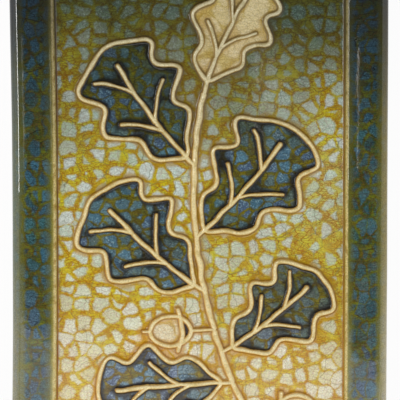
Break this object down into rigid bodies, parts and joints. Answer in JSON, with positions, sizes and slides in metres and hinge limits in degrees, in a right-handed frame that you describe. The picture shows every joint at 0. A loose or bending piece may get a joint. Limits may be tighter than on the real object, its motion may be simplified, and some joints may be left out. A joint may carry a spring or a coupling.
{
  "type": "faience wall tile",
  "caption": "Thick rectangular glazed wall tile with a raised rounded frame, a sunk picture panel, a leafy sprig drawn in raised lines and a grooved back.",
  "frame": {"origin": "middle of the back face, which lies on the floor", "axes": "+Z out of the glazed face, +Y to the top of the picture along the long side, +X to the right"},
  "size_m": [0.152, 0.229, 0.016],
  "materials": {
    "glazed_body": "gloss"
  },
  "bodies": {
    "root": {"tile": "glazed_body"}
  },
  "joints": []
}
